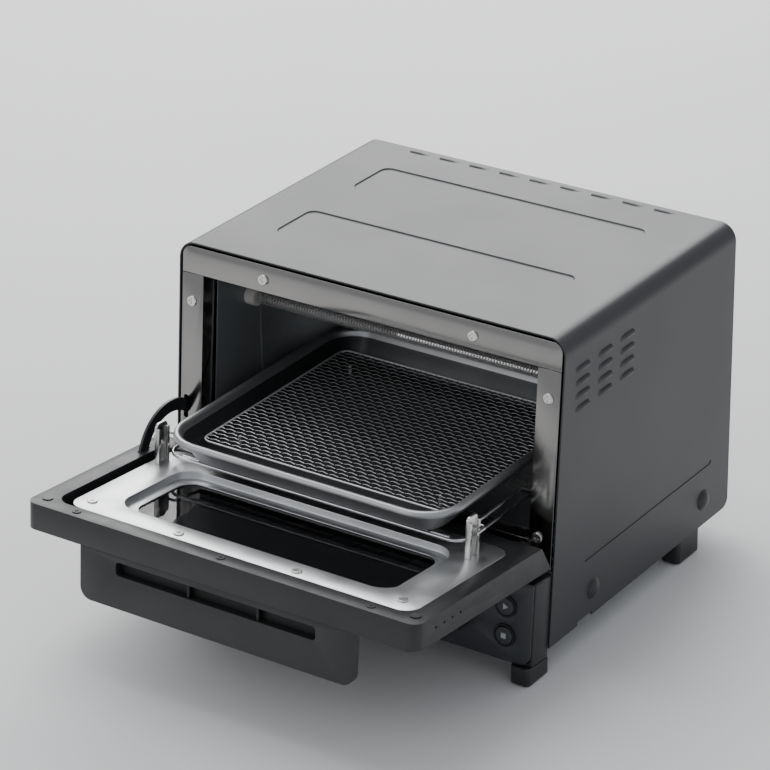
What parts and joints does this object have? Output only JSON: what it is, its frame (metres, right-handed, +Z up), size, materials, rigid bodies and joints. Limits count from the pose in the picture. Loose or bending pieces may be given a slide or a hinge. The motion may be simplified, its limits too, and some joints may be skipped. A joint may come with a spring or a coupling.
{
  "type": "toaster oven",
  "caption": "Compact toaster oven with a drop-down window door, a sliding wire rack, a baking tray with a woven net, a dial and push buttons.",
  "frame": {"origin": "centre of the footprint on the surface it stands on, with the door open", "axes": "+Z up, front and door towards -Y, +X to the right seen from the front"},
  "size_m": [0.358, 0.4594, 0.2675],
  "materials": {
    "cover_paint": "matte baked coating",
    "polished_steel": "mirror polished stainless steel",
    "satin_steel": "satin stainless sheet",
    "chamber_steel": "dull aluminised sheet",
    "charcoal_plastic": "fine moulded texture",
    "fascia_plastic": "fine moulded texture",
    "dark_glass": "tempered, dark tint",
    "quartz": "clear quartz",
    "element": "oxidised heating wire",
    "tray_enamel": "dark non-stick coating",
    "wire_chrome": "plated wire",
    "white_ceramic": "unglazed",
    "foot_rubber": "soft rubber",
    "circuit_board": "lacquered board",
    "screw_steel": "zinc plated"
  },
  "bodies": {
    "casing": {"outer_cover": "cover_paint", "rear_cover": "cover_paint", "base_pan": "chamber_steel", "cord_gland": "charcoal_plastic", "feet_front": "charcoal_plastic", "feet_rear": "charcoal_plastic", "foot_pads": "foot_rubber", "pillar_left": "polished_steel", "pillar_right": "polished_steel", "front_top_rail": "polished_steel", "sill": "polished_steel", "frame_screws": "screw_steel", "chamber_wall_left": "chamber_steel", "chamber_wall_right": "chamber_steel", "rack_rail_left": "chamber_steel", "rack_rail_right": "chamber_steel", "chamber_back": "chamber_steel", "chamber_ceiling": "chamber_steel", "upper_quartz_tubes": "quartz", "lower_quartz_tubes": "quartz", "upper_element_coils": "element", "lower_element_coils": "element", "heater_end_caps": "white_ceramic", "thermostat": "screw_steel", "control_housing": "charcoal_plastic", "fascia": "fascia_plastic", "button_bezels": "charcoal_plastic", "button_spring_start": "screw_steel", "button_spring_cancel": "screw_steel", "button_board": "circuit_board", "timer": "charcoal_plastic", "power_board": "circuit_board", "wall_spacers": "charcoal_plastic", "hinge_bracket_left": "screw_steel", "hinge_bracket_right": "screw_steel"},
    "door": {"door_frame": "charcoal_plastic", "door_inner_panel": "satin_steel", "inner_glass": "dark_glass", "outer_glass": "dark_glass", "panel_screws": "screw_steel", "door_screws": "charcoal_plastic", "door_caps": "charcoal_plastic", "handle_grip": "charcoal_plastic", "handle_backing": "charcoal_plastic", "hook_left": "polished_steel", "hook_right": "polished_steel", "door_arm": "cover_paint", "hinge_pins": "screw_steel"},
    "rack": {"wire_rack": "wire_chrome"},
    "tray": {"baking_tray": "tray_enamel"},
    "net": {"mesh_net": "wire_chrome"},
    "crumbs": {"crumb_tray": "satin_steel"},
    "start": {"button_start": "charcoal_plastic"},
    "cancel": {"button_cancel": "charcoal_plastic"},
    "dial": {"dial_knob": "charcoal_plastic", "dial_shaft": "screw_steel"}
  },
  "joints": [
    {"name": "door_hinge", "type": "hinge", "parent": "casing", "child": "door", "pos_m": [0, -0.05607, 0.0973], "axis": [-1, 0, 0], "range_deg": [0, 90]},
    {"name": "rack_slide", "type": "slide", "parent": "casing", "child": "rack", "axis": [0, 1, 0], "range_m": [0, 0.118]},
    {"name": "tray_slide", "type": "slide", "parent": "casing", "child": "tray", "axis": [0, 1, 0], "range_m": [0, 0.0945]},
    {"name": "net_lift", "type": "slide", "parent": "tray", "child": "net", "axis": [0, 0, 1], "range_m": [0, 0.05]},
    {"name": "crumb_slide", "type": "slide", "parent": "casing", "child": "crumbs", "axis": [0, 1, 0], "range_m": [0, 0.2]},
    {"name": "start_press", "type": "slide", "parent": "casing", "child": "start", "axis": [0, 0.9964, -0.0852], "range_m": [0, 0.0018], "stiffness_N_per_m": 300, "deforming": ["button_spring_start"]},
    {"name": "cancel_press", "type": "slide", "parent": "casing", "child": "cancel", "axis": [0, 0.9964, -0.0852], "range_m": [0, 0.0018], "stiffness_N_per_m": 300, "deforming": ["button_spring_cancel"]},
    {"name": "dial_turn", "type": "hinge", "parent": "casing", "child": "dial", "pos_m": [0.1, -0.06736, 0.04978], "axis": [0, 0.9964, -0.0852], "range_deg": [0, 270]}
  ],
  "couplings": [
    {"joint": "rack_slide", "follows": "door_hinge", "m_per_rad": 0.0751},
    {"joint": "tray_slide", "follows": "door_hinge", "m_per_rad": 0.0601}
  ]
}
